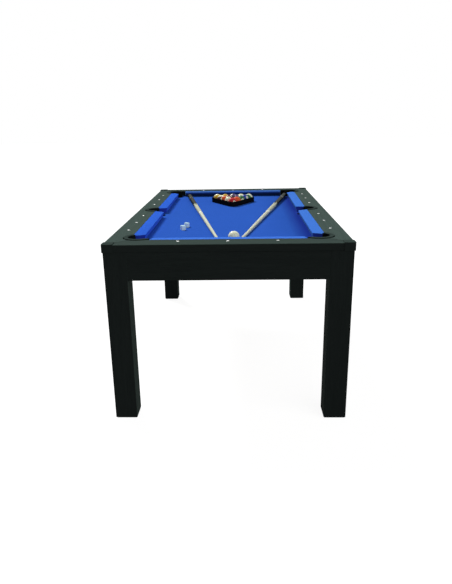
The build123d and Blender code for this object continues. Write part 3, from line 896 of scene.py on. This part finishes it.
ball_colours = {
    "yellow": (0.88, 0.55, 0.045), "blue": (0.018, 0.055, 0.42), "red": (0.72, 0.022, 0.030),
    "purple": (0.085, 0.040, 0.20), "orange": (0.92, 0.14, 0.028),
    "green": (0.030, 0.21, 0.065), "maroon": (0.17, 0.012, 0.016), "black": (0.006, 0.006, 0.007),
}
ball_cream = (0.96, 0.99, 0.70)
stripe_half = 0.54
spot_edge = 0.94
ink_rise = 0.00006
text_size_share = 1.35
# Which way each ball's number spot and the pole of its stripe point
ball_spots = {
    1: (0, -0.44, -0.9), 2: (0.60, -0.66, 0.45), 3: (0.40, -0.90, 0.10), 4: (-0.42, -0.2, 0.88),
    5: (0.9, -0.3, -0.3), 6: (0.45, -0.88, 0.10), 7: (0, -0.44, -0.9), 8: (0, -0.44, -0.9),
    9: (0.9, -0.4, 0.0), 10: (0.9, -0.3, -0.3), 11: (-0.3, -0.3, -0.9), 12: (-0.6, -0.7, -0.3),
    13: (0.1, -0.44, -0.9), 14: (-0.4, -0.2, -0.9), 15: (0.2, -0.96, -0.15),
}
stripe_poles = {
    9: (-0.30, 0.42, 0.86), 10: (0.0, 0.0, 1.0), 11: (-0.5, -0.5, 0.70), 12: (0.9, 0.3, 0.3),
    13: (-0.95, 0.25, -0.2), 14: (0.62, 0.15, 0.72), 15: (-0.15, 0.15, 0.97),
}


def ball_place(node):
    low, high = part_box(node)
    return (low + high) / 2, (high.x - low.x) / 2


def ball_finish(name, colour, middle, radius, spot=None, pole=None):
    """Polished resin: a colour all over or in a band, and a cream spot at each side."""
    finish = Finish(name)
    swirl = finish.noise(finish.coords(), 30.0, 2.0)
    cream = finish.mix(finish.spread(swirl, 0.3, 0.7, 0.0, 0.3), ball_cream, (0.97, 0.99, 0.82))
    shade = cream
    if colour:
        x, y, z = finish.parts(finish.coords(tuple(middle)))

        def along(way):
            way = way.normalized()
            return abs((x * way.x + y * way.y + z * way.z) / radius)

        shade = body = finish.mix(swirl, colour, tinted(colour, 0.85))
        if pole:
            shade = finish.mix(finish.edge(along(pole), stripe_half, 0.02), body, cream)
        shade = finish.mix(finish.edge(along(spot), spot_edge, 0.008), shade, cream)
    scuffs = finish.noise(finish.coords(), 600.0, 3.0)
    return finish.surface(shade, 0.07 + 0.05 * scuffs, specular_ior_level=0.10)


def number_piece(number, middle, radius, spot, height):
    """The ball's number, laid on the sphere at its two spots."""
    outward = Vector(spot).normalized()
    right = Vector((0, 0, 1)).cross(outward).normalized()
    pieces = []
    for facing, across in ((outward, right), (-outward, -right)):
        put_down()
        bpy.ops.object.text_add(location=(0, 0, 0))
        text = bpy.context.object
        text.data.body = str(number)
        text.data.size = height * text_size_share
        text.data.align_x = "CENTER"
        text.data.align_y = "CENTER"
        bpy.ops.object.convert(target="MESH")
        piece = bpy.context.object
        pick_all(piece)
        bpy.ops.mesh.quads_convert_to_tris()
        bpy.ops.mesh.subdivide(number_cuts=2)
        put_down()
        up = facing.cross(across)
        frame_turn = Matrix((across, up, facing)).transposed().to_4x4()
        for vertex in piece.data.vertices:
            x, y = vertex.co.x, vertex.co.y
            vertex.co.z = math.sqrt(max(0.0, (radius + ink_rise) ** 2 - x * x - y * y))
        piece.data.transform(Matrix.Translation(middle) @ frame_turn)
        pieces.append(piece)
    return joined(pieces, f"ball_{number}_number")


class POOLTABLE_OT_balls(bpy.types.Operator):
    """Fifteen numbered balls and the cue ball"""

    bl_idname = "pool_table.balls"
    bl_label = "Balls"

    def execute(self, context):
        ink = printed_ink("number_ink")
        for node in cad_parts:
            if not node.startswith("ball_") or node == "ball_triangle":
                continue
            words = node.split("_")
            number, colour = int(words[1]), ball_colours[words[2]]
            middle, radius = ball_place(node)
            spot, pole = Vector(ball_spots[number]), None
            if number in stripe_poles:
                pole = Vector(stripe_poles[number]).normalized()
                spot -= pole * pole.dot(spot)
            material = ball_finish(node, colour, middle, radius, spot, pole)
            dress_nodes(material, node)
            digits = number_piece(number, middle, radius, spot, settings().number_height)
            add_piece(digits, f"ball_{number}", ink)
        middle, radius = ball_place("cue_ball")
        dress_nodes(ball_finish("cue_ball_resin", None, middle, radius), "cue_ball")
        return {"FINISHED"}


class POOLTABLE_OT_triangle(bpy.types.Operator):
    """Moulded triangle round the racked balls"""

    bl_idname = "pool_table.triangle"
    bl_label = "Triangle"

    def execute(self, context):
        dress_nodes(moulded_plastic("triangle_plastic", (0.0045, 0.0045, 0.005), 0.36, 0.04),
                    "ball_triangle")
        return {"FINISHED"}


# Cues


cue_length = 1.448
cue_tip_radius = 0.0065
cue_butt_radius = 0.0145
tip_end = 0.006
ferrule_end = 0.026
cue_joint = 0.724
joint_length = 0.014
bumper_start = cue_length - 0.022
# Height along the joint and what its steel stands off the cue's surface there
joint_steps = ((0.0, -0.0004), (0.0005, 0.0002), (0.0045, 0.0002), (0.005, -0.0004),
               (0.009, -0.0004), (0.0095, 0.0002), (0.0135, 0.0002), (0.014, -0.0004))
# Where the points of the forearm reach from the tip, their lengths, and the rings behind
long_points, long_point_depth, veneer_width = 1.095, 0.125, 0.010
short_points, short_point_depth = 1.085, 0.060
cue_rings = ((1.285, 0.0016, 0.0006), (1.297, 0.0008, 0.0004))
cue_places = {"left": (-0.298, -0.045), "right": (0.357, 0.0536)}
cue_butt_y = 0.7015


def cue_radius(along):
    return cue_tip_radius + (cue_butt_radius - cue_tip_radius) * along / cue_length


def cue_turn(side):
    """Place and turn that lay a cue along +Z down on the bed, its tip near the middle."""
    butt_x, tip_x = cue_places[side]
    heading = math.asin((tip_x - butt_x) / cue_length)
    slope = (cue_butt_radius - cue_tip_radius) / cue_length
    height = bed_top + 0.0003 + cue_butt_radius * math.sqrt(1 + slope * slope)
    return (Matrix.Translation((butt_x, cue_butt_y, height)) @ Matrix.Rotation(heading, 4, "Z")
            @ Matrix.Rotation(slope - math.pi / 2, 4, "X")
            @ Matrix.Translation((0, 0, -cue_length)))


def cue_wood(name, place, turn):
    """Lacquered maple with its grain along the cue."""
    finish = Finish(name)
    along = finish.coords(place, turn, (1.0, 1.0, 0.03))
    fibres = finish.noise(along, 900.0, 3.0, 0.6)
    figure = finish.noise(along, 120.0, 2.0, 0.5, 0.8)
    maple = rgb(settings().maple)
    colour = finish.mix(finish.spread(fibres, 0.35, 0.65), maple, tinted(maple, 0.86))
    colour = finish.mix(finish.spread(figure, 0.35, 0.65, 0.0, 0.35), colour,
                        (0.78, 0.80, 0.58))
    return finish.surface(colour, 0.30 + 0.06 * fibres, finish.bump(fibres, 0.00003),
                          specular_ior_level=0.12)


def cue_butt_finish(name, place, turn):
    """Black lacquered butt, with eight points and rings on its maple forearm."""
    finish = Finish(name)
    x, y, z = finish.parts(finish.coords(place, turn))
    round_way = finish.math("ARCTAN2", y, x) / (2 * math.pi) + 0.5
    saw = abs((round_way * 4.0).math("FRACT") - 0.5) * 2.0
    fine_saw = abs((round_way * 4.0 + 0.5).math("FRACT") - 0.5) * 2.0
    black_start = long_points - long_point_depth * saw
    black = finish.edge(z - black_start, 0.0, 0.0015)
    veneer = finish.edge(z - (black_start - veneer_width), 0.0, 0.0015)
    short = finish.edge(z - (short_points - short_point_depth * fine_saw), 0.0, 0.0015)
    black = finish.math("MAXIMUM", black, short)
    along = finish.coords(place, turn, (1.0, 1.0, 0.03))
    fibres = finish.noise(along, 700.0, 3.0, 0.6)
    maple = rgb(settings().maple)
    wood = finish.mix(finish.spread(fibres, 0.35, 0.65), maple, tinted(maple, 0.84))
    colour = finish.mix(veneer, wood, (0.05, 0.11, 0.05))
    flakes = finish.noise(finish.coords(place, turn), 1600.0, 2.0)
    lacquer = finish.mix(flakes, (0.010, 0.015, 0.009), (0.022, 0.030, 0.018))
    colour = finish.mix(black, colour, lacquer)
    for height, half_width, softness in cue_rings:
        off_ring = finish.edge(abs(z - height), half_width, softness)
        colour = finish.mix(off_ring, (0.55, 0.55, 0.52), colour)
    return finish.surface(colour, 0.24 + 0.05 * fibres, specular_ior_level=0.0,
                          coat_weight=0.16, coat_roughness=0.15)


def tapered(name, start, finish, sides=32, ends=0.0004):
    """Stretch of the cue between two distances from its tip, with eased ends."""
    profile = [(start, cue_radius(start) - ends), (start + ends, cue_radius(start + ends)),
               (finish - ends, cue_radius(finish - ends)), (finish, cue_radius(finish) - ends)]
    return turned(name, profile, sides)


class POOLTABLE_OT_cues(bpy.types.Operator):
    """Two two-piece cues: tip, ferrule, shaft, joint, butt and bumper"""

    bl_idname = "pool_table.cues"
    bl_label = "Cues"

    def execute(self, context):
        ivory = Finish("ferrule")
        cloud = ivory.noise(ivory.coords(), 300.0, 2.0)
        ferrule_white = ivory.surface(ivory.mix(cloud, (0.82, 0.88, 0.86), (0.90, 0.94, 0.92)),
                                      0.25, specular_ior_level=0.5)
        hide = Finish("tip_leather")
        grain = hide.noise(hide.coords(), 1500.0, 3.0)
        leather = hide.surface(hide.mix(grain, (0.50, 0.70, 0.78), (0.68, 0.84, 0.90)), 0.85,
                               hide.bump(grain, 0.0001))
        rubber = moulded_plastic("bumper_rubber", (0.010, 0.010, 0.010), 0.7)
        steel = zinc_plate("joint_steel")
        for side in SIDES:
            lay = cue_turn(side)
            origin, turn = tuple(lay.translation), tuple(lay.to_euler())
            body = f"cue_{side}"
            wood = cue_wood(f"cue_maple_{side}", origin, turn)
            butt_black = cue_butt_finish(f"cue_butt_{side}", origin, turn)
            tip = turned(f"{body}_tip", [
                (0.0, 0.0022), (0.0006, 0.0042), (0.0018, 0.0058), (0.0036, 0.00645),
                (0.0058, cue_radius(0.0058)), (tip_end, cue_radius(tip_end) - 0.0002)])
            ferrule = tapered(f"{body}_ferrule", tip_end, ferrule_end)
            shaft = tapered(f"{body}_shaft", ferrule_end, cue_joint)
            collar = turned(f"{body}_joint", [(cue_joint + step, cue_radius(cue_joint) + proud)
                                              for step, proud in joint_steps])
            butt = tapered(f"{body}_butt", cue_joint + joint_length, bumper_start)
            end = cue_length
            bumper = turned(f"{body}_bumper", [
                (bumper_start, cue_radius(bumper_start) - 0.0006),
                (end - 0.0212, cue_radius(end - 0.0212)),
                (end - 0.008, cue_radius(end - 0.008)), (end - 0.0045, 0.0138),
                (end - 0.0018, 0.0122), (end - 0.0004, 0.0092), (end, 0.0060),
                (end - 0.0012, 0.0045), (end - 0.0016, 0.0015)])
            for piece, slot, material, stands_for in (
                (shaft, "cue_maple", wood, [f"cue_shaft_{side}"]),
                (tip, "cue_maple", leather, ()), (ferrule, "cue_maple", ferrule_white, ()),
                (butt, "cue_black", butt_black, [f"cue_butt_{side}"]),
                (collar, "cue_black", steel, ()), (bumper, "cue_black", rubber, ()),
            ):
                piece.data.transform(lay)
                smooth(piece, 40)
                add_piece(piece, body, material, stands_for)
        return {"FINISHED"}


# Chalk


chalk_turns = {"near": 24, "far": -14}
chalk_half = 0.011
label_skin = 0.0003
label_drop = 0.003
worn_radius = 0.014
worn_depth = 0.0015


class POOLTABLE_OT_chalk(bpy.types.Operator):
    """Two chalk cubes in their paper labels"""

    bl_idname = "pool_table.chalk"
    bl_label = "Chalk"

    def execute(self, context):
        dust = Finish("chalk_block")
        powder = dust.noise(dust.coords(), 900.0, 4.0, 0.7)
        blue = rgb(settings().chalk_blue)
        pale = tuple(channel * 0.6 + 0.38 for channel in blue)
        chalk = dust.surface(dust.mix(powder, blue, pale), 0.97, dust.bump(powder, 0.0003),
                             specular_ior_level=0.0)
        label = Finish("chalk_label")
        fibre = label.noise(label.coords(), 700.0, 3.0)
        paper = label.surface(label.mix(fibre, (0.66, 0.90, 1.0), (0.78, 0.97, 1.0)), 0.6,
                              label.bump(fibre, 0.00008), specular_ior_level=0.0)
        for end in ENDS:
            node = f"chalk_{end}"
            low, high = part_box(node)
            middle = (low + high) / 2
            height = high.z - low.z
            inside = chalk_half - label_skin
            cube = block(f"{node}_block", (-inside, -inside, 0), (inside, inside, height))
            ease(cube, 0.0009, 3, lambda place, way: place.z > height * 0.4)
            bpy.ops.mesh.primitive_uv_sphere_add(
                segments=48, ring_count=32, radius=worn_radius,
                location=(0, 0, height - worn_depth + worn_radius))
            ball = settle(bpy.context.object)
            cut(cube, [ball])
            wrap = block(f"{node}_label", (-chalk_half, -chalk_half, 0.0002),
                         (chalk_half, chalk_half, height - label_drop))
            pick(wrap, lambda place, normal: normal.z > 0.9, "FACE")
            bpy.ops.mesh.inset(thickness=label_skin, depth=0.0)
            bpy.ops.transform.translate(value=(0, 0, -(height - label_drop - 0.0004)))
            put_down()
            ease(wrap, 0.0004, 2, lambda place, way: abs(way.z) > 0.9
                 and abs(place.x) > chalk_half * 0.98)
            place = (Matrix.Translation((middle.x, middle.y, low.z))
                     @ Matrix.Rotation(math.radians(chalk_turns[end]), 4, "Z"))
            for piece, material in ((cube, chalk), (wrap, paper)):
                piece.data.transform(place)
                smooth(piece, 30)
            add_piece(cube, f"chalk_{end}_cube", chalk, [node])
            add_piece(wrap, f"chalk_{end}_cube", paper)
        return {"FINISHED"}


# Panel and start


OPERATORS = (
    POOLTABLE_OT_stage, POOLTABLE_OT_rails, POOLTABLE_OT_sights, POOLTABLE_OT_cabinet,
    POOLTABLE_OT_underside, POOLTABLE_OT_cushions, POOLTABLE_OT_bed, POOLTABLE_OT_pockets,
    POOLTABLE_OT_balls,
    POOLTABLE_OT_triangle, POOLTABLE_OT_cues, POOLTABLE_OT_chalk,
)


class POOLTABLE_PT_panel(bpy.types.Panel):
    """Lists the settings and the pieces"""

    bl_idname = "POOLTABLE_PT_panel"
    bl_label = "Pool Table"
    bl_space_type = "VIEW_3D"
    bl_region_type = "UI"
    bl_category = "Pool Table"

    def draw(self, context):
        for name in PoolTableSettings.__annotations__:
            self.layout.prop(context.scene.pool_table, name)
        for operator in OPERATORS:
            self.layout.operator(operator.bl_idname)


def register():
    for owner in (PoolTableSettings, *OPERATORS, POOLTABLE_PT_panel):
        bpy.utils.register_class(owner)
    bpy.types.Scene.pool_table = bpy.props.PointerProperty(type=PoolTableSettings)


def unregister():
    del bpy.types.Scene.pool_table
    for owner in (POOLTABLE_PT_panel, *reversed(OPERATORS), PoolTableSettings):
        bpy.utils.unregister_class(owner)


def main():
    register()
    for operator in OPERATORS:
        group, name = operator.bl_idname.split(".")
        getattr(getattr(bpy.ops, group), name)()


if __name__ == "__main__":
    main()
